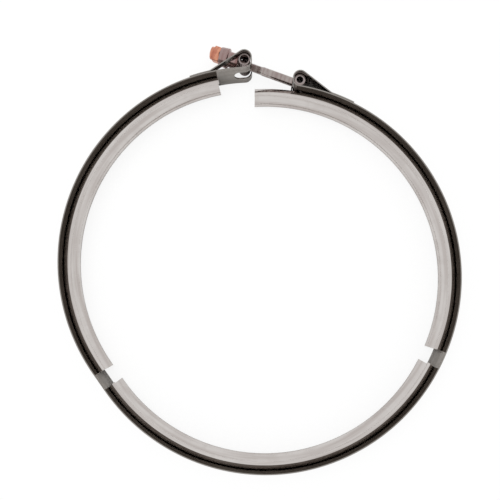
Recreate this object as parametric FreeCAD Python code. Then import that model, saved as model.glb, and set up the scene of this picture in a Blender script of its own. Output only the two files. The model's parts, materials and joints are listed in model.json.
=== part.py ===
import FreeCAD, Part
import math
import os

# V band clamp, lying flat and sprung open. The row's origin is the centre of the circle that the
# bottom retainer lies on, at half the band's width. +Z is the ring's axis and +Y points at the latch.
# All sizes are millimetres and degrees. Angles are counted from +X, counter-clockwise about +Z.

# Outer band
ring_radius = 160.0
band_width = 22.2
band_thickness = 1.0

# V retainers: a flat crown, two sloping legs and a lip that turns in at each foot
retainer_thickness = 1.2
crown_half_width = 3.03
leg_depth = 5.65
leg_rise = 5.23
lip_depth = 2.86
lip_rise = 0.76
crown_bend_radius = 1.5
lip_bend_radius = 1.3
bend_flat_count = 1
foot_overhang = 0.8
foot_trim = 0.2
weld_gap = 0.25

# Where the three retainers end, on the closed ring
top_gap_angle = 94.35
left_gap_angle = 211.7
right_gap_angle = -24.45
top_gap = 1.2
side_gap = 15.3

# How far each arm has sprung open about its side gap
left_opening = 6.44
right_opening = 0.76

# Latch, measured along the band from the middle of the top gap
trunnion_past_gap = 23.3
barrel_past_gap = 36.75
trunnion_lift = 3.1
barrel_lift = 1.6
loop_slack = 0.3

# Folded ends of the band
left_tail_reach = 29.5
left_weld_length = 16.2
right_tail_reach = 28.2
right_weld_length = 19.0
tail_bend_radius = 5.0
tail_sink = 0.02
slot_half_width = 4.5
slot_start = 9.0
window_half_width = 6.5
window_margin = 4.0
window_corner_radius = 3.0

# Trunnion tube
trunnion_radius = 5.0
trunnion_bore_radius = 3.6
trunnion_recess = 3.0
trunnion_hole_clearance = 0.35

# T-bolt: a hollow barrel and a threaded stud
barrel_radius = 4.8
barrel_bore_radius = 2.7
barrel_recess = 3.6
shank_radius = 3.35
thread_radius = 3.175
shank_length = 32.3
shank_step = 0.6
stud_seat_depth = 1.2
rim_chamfer = 0.35
point_chamfer = 0.9
point_standout = 0.6

# Sleeve between the trunnion and the nut
sleeve_radius = 5.8
sleeve_neck_length = 8.8
sleeve_head_length = 7.4
sleeve_head_radius_at_nut = 6.8
sleeve_head_radius_at_neck = 7.7
sleeve_head_chamfer = 0.5
sleeve_bore_clearance = 0.1
sleeve_standoff = 0.35

# Lock nut
nut_across_flats = 11.11
nut_hex_height = 5.6
nut_chamfer_slope = 30.0
nut_crown_height = 2.7
nut_crown_radius = 5.2
nut_crown_top_radius = 4.7
nut_clocking = 17.0
nut_standoff = 0.1
thread_clearance = 0.08

half_width = band_width / 2.0
middle_radius = ring_radius - band_thickness / 2.0
axis = FreeCAD.Vector(0, 0, 1)


def unit(angle):
    a = math.radians(angle)
    return FreeCAD.Vector(math.cos(a), math.sin(a), 0)


def angle_of(vector):
    return math.degrees(math.atan2(vector.y, vector.x))


def left_of(vector):
    return FreeCAD.Vector(-vector.y, vector.x, 0)


def along_band(length):
    """The angle that a length of band takes up on the ring."""
    return math.degrees(length / middle_radius)


def turned(point, pivot, angle):
    return pivot + FreeCAD.Rotation(axis, angle).multVec(point - pivot)


# Centres of the two arms' circles, and their opening about the side gaps
origin = FreeCAD.Vector(0, 0, 0)
left_hinge = unit(left_gap_angle) * middle_radius
right_hinge = unit(right_gap_angle) * middle_radius
left_centre = turned(origin, left_hinge, left_opening)
right_centre = turned(origin, right_hinge, -right_opening)

side_half_angle = along_band(side_gap) / 2.0
top_half_angle = along_band(top_gap) / 2.0
left_top_angle = top_gap_angle + top_half_angle + left_opening
left_low_angle = left_gap_angle - side_half_angle + left_opening
bottom_left_angle = left_gap_angle + side_half_angle
bottom_right_angle = 360.0 + right_gap_angle - side_half_angle
right_low_angle = right_gap_angle + side_half_angle - right_opening
right_top_angle = top_gap_angle - top_half_angle - right_opening

# Axes of the trunnion and of the T-bolt's barrel
trunnion_angle = top_gap_angle - along_band(trunnion_past_gap) + left_opening
barrel_angle = top_gap_angle - along_band(barrel_past_gap) - right_opening
trunnion_axis_radius = ring_radius + trunnion_lift + trunnion_radius
barrel_axis_radius = ring_radius + barrel_lift + barrel_radius
trunnion_centre = left_centre + unit(trunnion_angle) * trunnion_axis_radius
barrel_centre = right_centre + unit(barrel_angle) * barrel_axis_radius
bolt_angle = angle_of(trunnion_centre - barrel_centre)
pin_distance = (trunnion_centre - barrel_centre).Length
bolt_frame = FreeCAD.Placement(barrel_centre, FreeCAD.Rotation(axis, bolt_angle))


def bent_edge(start, finish, offset):
    """The line or round arc that leaves one station along its direction and ends at the next."""
    a = start[0] + left_of(start[1]) * offset
    b = finish[0] + left_of(finish[1]) * offset
    chord = b - a
    turn = math.radians(angle_of(chord) - angle_of(start[1]))
    turn = math.atan2(math.sin(turn), math.cos(turn))
    bulge = chord.Length / 2.0 * math.tan(turn / 2.0)
    if abs(bulge) < 1e-4:
        return Part.makeLine(a, b)
    side = left_of(chord)
    side.normalize()
    return Part.Arc(a, (a + b) * 0.5 - side * bulge, b).toShape()


def strip_face(stations, thickness):
    """A strip of even thickness that follows a chain of stations, seen on its edge."""
    half = thickness / 2.0
    pairs = list(zip(stations[:-1], stations[1:]))
    edges = [bent_edge(a, b, half) for a, b in pairs]
    edges += [bent_edge(a, b, -half) for a, b in pairs]
    for point, direction in (stations[0], stations[-1]):
        edges.append(Part.makeLine(point + left_of(direction) * half, point - left_of(direction) * half))
    return Part.Face(Part.Wire(Part.__sortEdges__(edges)))


def faceted_strip(stations, thickness):
    """The same strip with each round bend as a few flats, for sections that are swept a long way."""
    sides = []
    for offset in (thickness / 2.0, -thickness / 2.0):
        points = []
        for a, b in zip(stations[:-1], stations[1:]):
            edge = bent_edge(a, b, offset)
            count = 2 if isinstance(edge.Curve, Part.Line) else int(bend_flat_count) + 1
            points += edge.discretize(Number=count)[:-1]
        end, heading = stations[-1]
        points.append(end + left_of(heading) * offset)
        sides.append(points)
    outline = sides[0] + sides[1][::-1]
    return Part.Face(Part.makePolygon(outline + [outline[0]]))


def strip_solid(stations, thickness):
    face = strip_face(stations, thickness)
    face.translate(FreeCAD.Vector(0, 0, -half_width))
    return face.extrude(FreeCAD.Vector(0, 0, band_width))


def on_circle(centre, radius, angle, sense):
    """A station on a circle, heading counter-clockwise for sense 1 and clockwise for sense -1."""
    return (centre + unit(angle) * radius, unit(angle + 90.0 * sense))


def loop_frame(centre, pin_angle):
    """Local X runs clockwise along the band under a pin, and local Y runs out through the pin."""
    return FreeCAD.Placement(centre, FreeCAD.Rotation(axis, pin_angle - 90.0))


def local_station(frame, x, y, heading):
    point = frame.multVec(FreeCAD.Vector(x, y, 0))
    return (point, frame.Rotation.multVec(unit(heading)))


def loop_radius(pin_radius):
    return pin_radius + loop_slack + band_thickness / 2.0


def ring_strip():
    """The band from the top of the left loop, round the ring, to the top of the right loop."""
    left = loop_frame(left_centre, trunnion_angle)
    right = loop_frame(right_centre, barrel_angle)
    a = loop_radius(trunnion_radius)
    b = loop_radius(barrel_radius)
    stations = [
        local_station(left, 0, trunnion_axis_radius + a, 0.0),
        local_station(left, a, trunnion_axis_radius, -90.0),
        local_station(left, a, middle_radius + a, -90.0),
        on_circle(left_centre, middle_radius, trunnion_angle, 1),
        on_circle(left_centre, middle_radius, left_low_angle, 1),
        on_circle(origin, middle_radius, bottom_left_angle, 1),
        on_circle(origin, middle_radius, bottom_right_angle, 1),
        on_circle(right_centre, middle_radius, right_low_angle, 1),
        on_circle(right_centre, middle_radius, barrel_angle, 1),
        local_station(right, -b, middle_radius + b, 90.0),
        local_station(right, -b, barrel_axis_radius, 90.0),
        local_station(right, 0, barrel_axis_radius + b, 0.0),
    ]
    return strip_solid(stations, band_thickness)


def tail_strip(centre, pin_angle, pin_axis_radius, pin_radius, reach, weld_length, side):
    """One folded end: over the loop, straight down to the band, and flat on it where it is welded.

    side is 1 where the tail runs counter-clockwise from its pin, and -1 where it runs clockwise.
    """
    loop = loop_radius(pin_radius)
    pin = centre + unit(pin_angle) * pin_axis_radius
    land_angle = pin_angle + side * along_band(reach)
    end_angle = land_angle + side * along_band(weld_length)
    lying = ring_radius + band_thickness / 2.0 - tail_sink
    bend = centre + unit(land_angle) * (lying + tail_bend_radius)
    between = pin - bend
    lean = math.degrees(math.acos((tail_bend_radius + loop) / between.Length))
    normal = unit(angle_of(between) - side * lean)
    off_bend = bend + normal * tail_bend_radius
    on_loop = pin - normal * loop
    straight = off_bend - on_loop
    straight.normalize()
    chain = [
        (pin + unit(pin_angle) * loop, unit(pin_angle + 90.0 * side)),
        (on_loop, straight),
        (off_bend, straight),
        on_circle(centre, lying, land_angle, side),
        on_circle(centre, lying, end_angle, side),
    ]
    return strip_solid(chain, band_thickness)


def slot_tool(frame, x_from, x_to, half, y_from, y_to):
    """A long slot with round ends, cut from the ring's centre outwards."""
    depth = y_to - y_from
    out = FreeCAD.Vector(0, 1, 0)
    body = Part.makeBox(x_to - x_from, depth, 2.0 * half, FreeCAD.Vector(x_from, y_from, -half))
    first = Part.makeCylinder(half, depth, FreeCAD.Vector(x_from, y_from, 0), out)
    last = Part.makeCylinder(half, depth, FreeCAD.Vector(x_to, y_from, 0), out)
    tool = body.fuse([first, last])
    tool.Placement = frame
    return tool


def window_tool(frame, x_from, x_to, half, y_from, y_to):
    """A wide opening with rounded corners, cut from the ring's centre outwards."""
    size = FreeCAD.Vector(x_to - x_from, y_to - y_from, 2.0 * half)
    box = Part.makeBox(size.x, size.y, size.z, FreeCAD.Vector(x_from, y_from, -half))
    radius = min(window_corner_radius, size.x / 3.0, half / 2.0)
    upright = [e for e in box.Edges if abs(e.tangentAt(e.FirstParameter).y) > 0.99]
    tool = box.makeFillet(radius, upright)
    tool.Placement = frame
    return tool


def outer_band():
    left = loop_frame(left_centre, trunnion_angle)
    right = loop_frame(right_centre, barrel_angle)
    under = middle_radius - 2.0 * band_thickness
    over = trunnion_axis_radius + 3.0 * trunnion_radius
    ring = ring_strip()
    left_tail = tail_strip(
        left_centre, trunnion_angle, trunnion_axis_radius, trunnion_radius,
        left_tail_reach, left_weld_length, 1)
    right_tail = tail_strip(
        right_centre, barrel_angle, barrel_axis_radius, barrel_radius,
        right_tail_reach, right_weld_length, -1)
    loop = loop_radius(trunnion_radius)
    left_slot = slot_tool(left, slot_half_width - slot_start, 2.0 * loop, slot_half_width, under, over)
    right_slot = slot_tool(right, -3.0 * barrel_radius, 0.0, slot_half_width, under, over)
    window_end = left_tail_reach - window_margin
    window = window_tool(left, -window_end, -loop / 2.0, window_half_width, under, over)
    ring = ring.cut(left_slot)
    left_tail = left_tail.cut([left_slot, window])
    return ring.fuse([left_tail, right_tail]).cut(right_slot).removeSplitter()


def retainer_section():
    """The V section with the radius along X and the height along Y."""
    crown = ring_radius - band_thickness - weld_gap - retainer_thickness / 2.0
    knee = FreeCAD.Vector(crown - leg_depth, crown_half_width + leg_rise, 0)
    foot = FreeCAD.Vector(knee.x - lip_depth, knee.y + lip_rise, 0)
    shoulder = FreeCAD.Vector(crown, crown_half_width, 0)
    upper = [foot, knee, shoulder]
    corners = upper + [FreeCAD.Vector(p.x, -p.y, 0) for p in reversed(upper)]
    radii = [0, lip_bend_radius, crown_bend_radius, crown_bend_radius, lip_bend_radius, 0]
    stations = []
    for i, corner in enumerate(corners):
        before = corner - corners[max(i - 1, 0)]
        after = corners[min(i + 1, len(corners) - 1)] - corner
        if i == 0 or i == len(corners) - 1:
            heading = after if i == 0 else before
            heading.normalize()
            stations.append((corner, heading))
            continue
        back = radii[i] * math.tan(before.getAngle(after) / 2.0)
        before.normalize()
        after.normalize()
        stations.append((corner - before * back, before))
        stations.append((corner + after * back, after))
    return faceted_strip(stations, retainer_thickness)


def foot_radius():
    crown = ring_radius - band_thickness - weld_gap - retainer_thickness / 2.0
    return crown - leg_depth - lip_depth


def end_trim(angle, side):
    """What is cut off past a retainer's end, which leans so that the feet stand out past the crown."""
    out = unit(angle)
    past = unit(angle + 90.0 * side)
    high = out * (ring_radius + 2.0)
    slope = foot_overhang / (ring_radius - foot_radius())
    low_drop = 2.0 * (ring_radius - foot_radius())
    low = out * (ring_radius - low_drop) + past * (slope * low_drop)
    far = past * (4.0 * (foot_overhang + retainer_thickness))
    outline = Part.makePolygon([high, low, low + far, high + far, high])
    block = Part.Face(outline)
    block.translate(FreeCAD.Vector(0, 0, -band_width))
    return block.extrude(FreeCAD.Vector(0, 0, 2.0 * band_width))


def retainer(centre, from_angle, to_angle):
    section = retainer_section()
    section.rotate(origin, FreeCAD.Vector(1, 0, 0), 90.0)
    spare = math.degrees(3.0 * foot_overhang / foot_radius())
    section.rotate(origin, axis, from_angle - spare)
    solid = section.revolve(origin, axis, to_angle - from_angle + 2.0 * spare)
    neck = Part.makeCylinder(
        foot_radius() + foot_trim, 2.0 * band_width, FreeCAD.Vector(0, 0, -band_width))
    solid = solid.cut([end_trim(from_angle, -1), end_trim(to_angle, 1), neck])
    solid.translate(centre)
    return solid


def tube(radius, bore, half_length):
    """A tube on the Z axis with a small chamfer round both rims."""
    c = rim_chamfer
    profile = [
        (bore, -half_length), (radius - c, -half_length), (radius, -half_length + c),
        (radius, half_length - c), (radius - c, half_length), (bore, half_length),
    ]
    points = [FreeCAD.Vector(r, 0, z) for r, z in profile]
    outline = Part.makePolygon(points + [points[0]])
    return Part.Face(outline).revolve(origin, axis, 360.0)


def turning(profile):
    """A turned piece on the local X axis, from its outline of (distance along, radius) pairs."""
    points = [FreeCAD.Vector(x, r, 0) for x, r in profile]
    outline = Part.makePolygon(points + [points[0]])
    return Part.Face(outline).revolve(origin, FreeCAD.Vector(1, 0, 0), 360.0)


def trunnion():
    piece = tube(trunnion_radius, trunnion_bore_radius, half_width - trunnion_recess)
    hole_radius = shank_radius + trunnion_hole_clearance
    reach = 2.0 * trunnion_radius
    hole = Part.makeCylinder(
        hole_radius, 2.0 * reach, FreeCAD.Vector(-reach, 0, 0), FreeCAD.Vector(1, 0, 0))
    piece = piece.cut(hole)
    piece.Placement = FreeCAD.Placement(trunnion_centre, FreeCAD.Rotation(axis, bolt_angle))
    return piece


def stud_start():
    """Where the stud's inner end lies in the wall of the barrel."""
    return barrel_radius - stud_seat_depth


def nut_face_distance():
    """From the barrel's axis to the face of the nut that the sleeve bears on."""
    sleeve_face = pin_distance + trunnion_radius + sleeve_standoff
    return sleeve_face + sleeve_neck_length + sleeve_head_length + nut_standoff


def bolt_barrel():
    piece = tube(barrel_radius, barrel_bore_radius, half_width - barrel_recess)
    seat = Part.makeCylinder(
        shank_radius, 2.0 * barrel_radius, FreeCAD.Vector(stud_start(), 0, 0), FreeCAD.Vector(1, 0, 0))
    piece = piece.cut(seat)
    piece.Placement = bolt_frame
    return piece


def bolt_stud():
    start = stud_start()
    tip = nut_face_distance() + nut_hex_height + nut_crown_height + point_standout
    profile = [
        (start, 0.0), (start, shank_radius), (shank_length, shank_radius),
        (shank_length + shank_step, thread_radius), (tip - point_chamfer, thread_radius),
        (tip, thread_radius - point_chamfer), (tip, 0.0),
    ]
    piece = turning(profile)
    piece.Placement = bolt_frame
    return piece


def sleeve():
    bore = shank_radius + sleeve_bore_clearance
    face = pin_distance + trunnion_radius + sleeve_standoff
    neck_end = face + sleeve_neck_length
    head_end = neck_end + sleeve_head_length
    c = sleeve_head_chamfer
    profile = [
        (face, bore), (face, sleeve_radius), (neck_end, sleeve_radius),
        (neck_end, sleeve_head_radius_at_neck - c), (neck_end + c, sleeve_head_radius_at_neck),
        (head_end - c, sleeve_head_radius_at_nut),
        (head_end, sleeve_head_radius_at_nut - c), (head_end, bore),
    ]
    piece = turning(profile)
    piece.Placement = bolt_frame
    return piece


def lock_nut():
    """A six-sided nut with a round locking crown on the side away from the sleeve."""
    face = nut_face_distance()
    corner = nut_across_flats / 2.0 / math.cos(math.radians(30.0))
    flat = nut_across_flats / 2.0
    drop = (corner - flat) * math.tan(math.radians(nut_chamfer_slope)) + 0.15
    step = (corner - flat) + 0.15 / math.tan(math.radians(nut_chamfer_slope))
    ring = []
    for i in range(7):
        a = math.radians(60.0 * i + nut_clocking)
        ring.append(FreeCAD.Vector(face, corner * math.cos(a), corner * math.sin(a)))
    prism = Part.Face(Part.makePolygon(ring)).extrude(FreeCAD.Vector(nut_hex_height, 0, 0))
    back = face + nut_hex_height
    envelope = turning([
        (face, 0.0), (face, corner - step), (face + drop, corner), (back - drop, corner),
        (back, corner - step), (back, 0.0),
    ])
    top = back + nut_crown_height
    crown = turning([
        (back - 0.5, 0.0), (back - 0.5, nut_crown_radius), (back, nut_crown_radius),
        (top - 0.5, nut_crown_top_radius), (top, nut_crown_top_radius - 0.5), (top, 0.0),
    ])
    bore = Part.makeCylinder(
        thread_radius + thread_clearance, top - face + 2.0,
        FreeCAD.Vector(face - 1.0, 0, 0), FreeCAD.Vector(1, 0, 0))
    piece = prism.common(envelope).fuse(crown).removeSplitter().cut(bore)
    piece.Placement = bolt_frame
    return piece


pieces = {
    "outer_band": outer_band(),
    "retainer_left": retainer(left_centre, left_top_angle, left_low_angle),
    "retainer_bottom": retainer(origin, bottom_left_angle, bottom_right_angle),
    "retainer_right": retainer(right_centre, right_low_angle, right_top_angle),
    "trunnion": trunnion(),
    "bolt_barrel": bolt_barrel(),
    "bolt_stud": bolt_stud(),
    "sleeve": sleeve(),
    "lock_nut": lock_nut(),
}

os.makedirs("parts", exist_ok=True)
for name, shape in pieces.items():
    solids = shape.Solids
    print(name, "solids", len(solids), "valid", shape.isValid(), "volume", round(shape.Volume, 1))
    (solids[0] if len(solids) == 1 else shape).exportStep(os.path.join("parts", name + ".step"))
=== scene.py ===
import json
import math

import bmesh
import bpy
from mathutils import Matrix, Vector


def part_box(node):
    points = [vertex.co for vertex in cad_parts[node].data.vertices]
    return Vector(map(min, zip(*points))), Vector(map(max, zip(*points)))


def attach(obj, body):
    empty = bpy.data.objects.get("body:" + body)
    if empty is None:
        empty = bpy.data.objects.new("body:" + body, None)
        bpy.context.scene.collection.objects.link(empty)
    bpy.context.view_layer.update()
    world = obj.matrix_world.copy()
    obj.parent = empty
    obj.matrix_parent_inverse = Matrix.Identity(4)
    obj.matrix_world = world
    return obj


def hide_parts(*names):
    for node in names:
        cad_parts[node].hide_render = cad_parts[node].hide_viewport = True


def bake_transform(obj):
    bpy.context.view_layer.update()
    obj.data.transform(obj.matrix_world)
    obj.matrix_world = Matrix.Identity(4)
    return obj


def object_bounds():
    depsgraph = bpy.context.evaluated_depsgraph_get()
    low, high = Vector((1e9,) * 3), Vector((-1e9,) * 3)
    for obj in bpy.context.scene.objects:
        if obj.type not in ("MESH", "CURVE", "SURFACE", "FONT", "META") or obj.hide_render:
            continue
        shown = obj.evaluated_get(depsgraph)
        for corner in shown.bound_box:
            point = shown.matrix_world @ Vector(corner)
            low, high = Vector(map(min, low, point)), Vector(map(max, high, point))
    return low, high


# V band clamp, lying flat and sprung open. Metres throughout. The origin is the centre of the bottom
# retainer's circle at half the band's width, +Z is the ring's axis and +Y points at the latch.

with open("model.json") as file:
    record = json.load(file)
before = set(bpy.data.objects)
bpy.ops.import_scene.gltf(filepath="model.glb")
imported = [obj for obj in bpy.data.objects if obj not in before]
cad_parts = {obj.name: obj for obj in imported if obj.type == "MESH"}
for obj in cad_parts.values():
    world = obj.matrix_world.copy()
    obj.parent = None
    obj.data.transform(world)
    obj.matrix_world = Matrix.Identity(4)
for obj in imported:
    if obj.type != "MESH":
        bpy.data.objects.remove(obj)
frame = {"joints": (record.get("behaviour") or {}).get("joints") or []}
cad_low, cad_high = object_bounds()
joints = {joint["name"]: joint for joint in frame["joints"]}

mm = 0.001
origin = Vector((0, 0, 0))


# ---------------------------------------------------------------- sizes

band_low, band_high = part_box("outer_band")
half_width = band_high.z
ring_radius = -band_low.y
band_thickness = 1.0 * mm
middle_radius = ring_radius - band_thickness / 2

retainer_thickness = 1.2 * mm
weld_gap = 0.25 * mm
crown_half_width = 3.03 * mm
leg_depth = 5.65 * mm
leg_rise = 5.23 * mm
lip_depth = 2.86 * mm
lip_rise = 0.76 * mm
crown_bend_radius = 1.5 * mm
lip_bend_radius = 1.3 * mm
foot_trim = 0.2 * mm
foot_overhang = 0.8 * mm

top_gap_angle = 94.35
left_gap_angle = 211.7
right_gap_angle = -24.45
lowest_angle = 270.0
top_gap = 1.2 * mm
side_gap = 15.3 * mm
left_opening = 6.44
right_opening = 0.76

loop_slack = 0.3 * mm
left_tail = {"reach": 29.5 * mm, "weld": 16.2 * mm}
right_tail = {"reach": 28.2 * mm, "weld": 19.0 * mm}
tail_bend_radius = 5.0 * mm
tail_sink = 0.02 * mm
sheet_inset = 0.03 * mm
sheet_edge_radius = 0.22 * mm
cut_below = 3 * mm
cut_above = 12 * mm
slot_half_width = 4.5 * mm
slot_start = 9.0 * mm
window_half_width = 6.5 * mm
window_margin = 4.0 * mm
window_corner_radius = 3.0 * mm

trunnion_bore_radius = 3.6 * mm
trunnion_hole_clearance = 0.35 * mm
barrel_bore_radius = 2.7 * mm
shank_radius = 3.35 * mm
shank_length = 32.3 * mm
shank_step = 0.6 * mm
stud_seat_depth = 1.2 * mm
pin_rim = 0.4 * mm
thread_radius = 3.175 * mm
thread_root = 2.65 * mm
thread_clearance = 0.08 * mm
thread_run_out = 1.6 * mm
stud_end_chamfer = 0.9 * mm
pitch = 25.4 * mm / 28

sleeve_standoff = 0.35 * mm
sleeve_radius = 5.8 * mm
sleeve_neck_length = 8.8 * mm
sleeve_head_length = 7.4 * mm
sleeve_head_radius_at_nut = 6.8 * mm
sleeve_head_radius_at_neck = 7.7 * mm
sleeve_bore_clearance = 0.1 * mm

nut_standoff = 0.1 * mm
nut_half_flats = 11.11 * mm / 2
nut_hex_height = 5.6 * mm
nut_crown_height = 2.7 * mm
nut_crown_radius = 5.2 * mm
nut_clocking = 17.0
nut_chamfer_angle = 30
nut_corner_trim = 0.12 * mm
nut_crown_steps = [(0.8 * mm, 4.85 * mm), (0.35 * mm, 4.72 * mm), (0.1 * mm, 4.45 * mm), (0, 4.1 * mm)]
point_standout = 0.6 * mm

# How finely the meshes are drawn, and how they are unrolled
sharp_angle = 32
arc_step = 0.75
small_arc = 20 * mm
small_arc_step = 6.0
straight_step = 3 * mm
fine_step = 0.5 * mm
chart_radius = 5 * mm


def unit(angle):
    """The direction at an angle in degrees from +X, counter-clockwise about +Z."""
    a = math.radians(angle)
    return Vector((math.cos(a), math.sin(a), 0))


def round_point(x, radius, turn):
    """A point beside the X axis, turned about it by an angle in radians."""
    return Vector((x, radius * math.cos(turn), radius * math.sin(turn)))


def angle_of(vector):
    return math.degrees(math.atan2(vector.y, vector.x))


def left_of(vector):
    return Vector((-vector.y, vector.x, 0))


def turned(point, pivot, angle):
    return pivot + Matrix.Rotation(math.radians(angle), 3, "Z") @ (point - pivot)


def along_band(length):
    """The angle in degrees that a length of band takes up on the ring."""
    return math.degrees(length / middle_radius)


left_hinge = Vector(joints["clamp_closing"]["pos_m"])
right_hinge = Vector(joints["right_arm_closing"]["pos_m"])
left_hinge.z = right_hinge.z = 0
left_centre = turned(origin, left_hinge, left_opening)
right_centre = turned(origin, right_hinge, -right_opening)

side_half_angle = along_band(side_gap) / 2
top_half_angle = along_band(top_gap) / 2
left_top_angle = top_gap_angle + top_half_angle + left_opening
left_low_angle = left_gap_angle - side_half_angle + left_opening
bottom_left_angle = left_gap_angle + side_half_angle
bottom_right_angle = 360 + right_gap_angle - side_half_angle
right_low_angle = right_gap_angle + side_half_angle - right_opening
right_top_angle = top_gap_angle - top_half_angle - right_opening


def pin(node):
    """Centre, radius and half length of an upright tube of the frame."""
    low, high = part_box(node)
    return (low + high) / 2, (high.x - low.x) / 2, high.z


trunnion_centre, trunnion_radius, trunnion_half = pin("trunnion")
barrel_centre, barrel_radius, barrel_half = pin("bolt_barrel")
trunnion_angle = angle_of(trunnion_centre - left_centre)
barrel_angle = angle_of(barrel_centre - right_centre)
trunnion_axis_radius = (trunnion_centre - left_centre).length
barrel_axis_radius = (barrel_centre - right_centre).length
bolt_out = (trunnion_centre - barrel_centre).normalized()
pin_distance = (trunnion_centre - barrel_centre).length
bolt_place = Matrix.Translation(barrel_centre) @ Matrix.Rotation(math.radians(angle_of(bolt_out)), 4, "Z")


# ---------------------------------------------------------------- making meshes

def new_piece(name, points=(), edges=(), faces=()):
    mesh = bpy.data.meshes.new(name)
    mesh.from_pydata([tuple(p) for p in points], list(edges), list(faces))
    mesh.update()
    piece = bpy.data.objects.new(name, mesh)
    bpy.context.scene.collection.objects.link(piece)
    return piece


def discard(*pieces):
    for piece in pieces:
        bpy.data.objects.remove(piece)


def settle(piece):
    """Keeps what the modifiers give as a plain mesh, smooth but for its sharp edges."""
    graph = bpy.context.evaluated_depsgraph_get()
    mesh = bpy.data.meshes.new_from_object(piece.evaluated_get(graph))
    piece.modifiers.clear()
    piece.data = mesh
    mesh.name = piece.name
    mesh.shade_smooth()
    mesh.set_sharp_from_angle(angle=math.radians(sharp_angle))
    return piece


def cut(piece, tools):
    for tool in tools:
        difference = piece.modifiers.new("cut", "BOOLEAN")
        difference.operation = "DIFFERENCE"
        difference.solver = "EXACT"
        difference.object = tool
    return settle(piece)


def joined(name, pieces):
    """Several pieces as one mesh, which takes the first one's place."""
    with bpy.context.temp_override(active_object=pieces[0], selected_editable_objects=pieces):
        bpy.ops.object.join()
    pieces[0].name = name
    pieces[0].data.name = name
    return pieces[0]


def filleted(corners, steps=6):
    """Points along an outline whose corners, (x, y, radius), are rounded."""
    points = []
    count = len(corners)
    for i, (x, y, radius) in enumerate(corners):
        here = Vector((x, y, 0))
        if radius <= 0:
            points.append(here)
            continue
        before = Vector((*corners[i - 1][:2], 0))
        after = Vector((*corners[(i + 1) % count][:2], 0))
        a = (here - before).normalized()
        b = (after - here).normalized()
        turn = math.atan2(a.cross(b).z, a.dot(b))
        back = radius * math.tan(abs(turn) / 2)
        side = 1 if turn > 0 else -1
        middle = here - a * back + left_of(a) * radius * side
        for k in range(steps + 1):
            heading = math.radians(angle_of(a)) + turn * k / steps
            points.append(middle + Vector((math.sin(heading), -math.cos(heading), 0)) * radius * side)
    return points


def offset_chain(points, distance):
    """The corners of a chain of straight runs, moved sideways by a distance."""
    moved = []
    for i, here in enumerate(points):
        a = (here - points[i - 1]).normalized() if i else (points[1] - here).normalized()
        b = (points[i + 1] - here).normalized() if i < len(points) - 1 else a
        normal = (left_of(a) + left_of(b)).normalized()
        moved.append(here + normal * distance / normal.dot(left_of(a)))
    return moved


def turned_faces(steps, count):
    """The faces between the copies of a closed outline of count points, turned right round."""
    faces = []
    for i in range(steps):
        j = (i + 1) % steps
        for k in range(count):
            m = (k + 1) % count
            faces.append((i * count + k, i * count + m, j * count + m, j * count + k))
    return faces


def drawn_faces(count):
    """The faces of a block drawn straight out from a closed outline of count points."""
    faces = [tuple(range(count)), tuple(range(2 * count - 1, count - 1, -1))]
    return faces + [(i, i + count, (i + 1) % count + count, (i + 1) % count) for i in range(count)]


def lathe(name, outline, steps):
    """A ring turned round the X axis from a closed outline of (along, radius) points."""
    points = []
    for i in range(steps):
        a = 2 * math.pi * i / steps
        points += [round_point(p.x, p.y, a) for p in outline]
    return new_piece(name, points, (), turned_faces(steps, len(outline)))


def face_out(piece):
    """Points every face of a closed mesh outwards."""
    shape = bmesh.new()
    shape.from_mesh(piece.data)
    bmesh.ops.remove_doubles(shape, verts=shape.verts, dist=1e-7)
    bmesh.ops.dissolve_degenerate(shape, edges=shape.edges, dist=1e-7)
    bmesh.ops.recalc_face_normals(shape, faces=shape.faces)
    shape.to_mesh(piece.data)
    shape.free()
    piece.data.update()
    return piece


def unwrap_round(piece):
    """A UV map in metres for a turned piece: along its X axis, and round it."""
    layer = piece.data.uv_layers.new(name="UVMap")
    for face in piece.data.polygons:
        middle = math.atan2(face.center.z, face.center.y)
        for loop in face.loop_indices:
            p = piece.data.vertices[piece.data.loops[loop].vertex_index].co
            turn = math.atan2(p.z, p.y)
            turn += 2 * math.pi * round((middle - turn) / (2 * math.pi))
            radius = math.hypot(p.y, p.z)
            layer.data[loop].uv = (turn * chart_radius, p.x + radius)
    return piece


def place(piece, matrix, sharp=sharp_angle):
    piece.data.transform(matrix)
    piece.data.update()
    piece.data.shade_smooth()
    piece.data.set_sharp_from_angle(angle=math.radians(sharp))
    return piece


# ---------------------------------------------------------------- stations of a bent strip

def on_circle(centre, radius, angle, sense):
    """A station on a circle, heading counter-clockwise for sense 1 and clockwise for sense -1."""
    return (centre + unit(angle) * radius, unit(angle + 90 * sense))


def local_station(centre, pin_angle, x, y, heading):
    """A station given beside a pin: X runs clockwise along the band, Y runs out through the pin."""
    turn = Matrix.Rotation(math.radians(pin_angle - 90), 3, "Z")
    return (centre + turn @ Vector((x, y, 0)), turn @ unit(heading))


def chain_points(stations, fine=()):
    """Points along a chain of lines and arcs. Runs listed in fine get short steps."""
    points = [stations[0][0].copy()]
    for i, (start, finish) in enumerate(zip(stations[:-1], stations[1:])):
        turn = math.atan2(start[1].cross(finish[1]).z, start[1].dot(finish[1]))
        chord = finish[0] - start[0]
        if abs(turn) < 1e-5:
            count = max(1, round(chord.length / (fine_step if i in fine else straight_step)))
            points += [start[0] + chord * k / count for k in range(1, count + 1)]
            continue
        radius = chord.length / (2 * math.sin(turn / 2))
        step = arc_step if abs(radius) > small_arc else small_arc_step
        count = max(2, math.ceil(abs(math.degrees(turn)) / step))
        if i in fine:
            count = max(count, round(chord.length / fine_step))
        middle = start[0] + left_of(start[1]) * radius
        first = angle_of(start[1])
        for k in range(1, count + 1):
            heading = unit(first + math.degrees(turn) * k / count)
            points.append(middle - left_of(heading) * radius)
    return points


def path_piece(name, points):
    return new_piece(name, points, [(i, i + 1) for i in range(len(points) - 1)])


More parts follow.
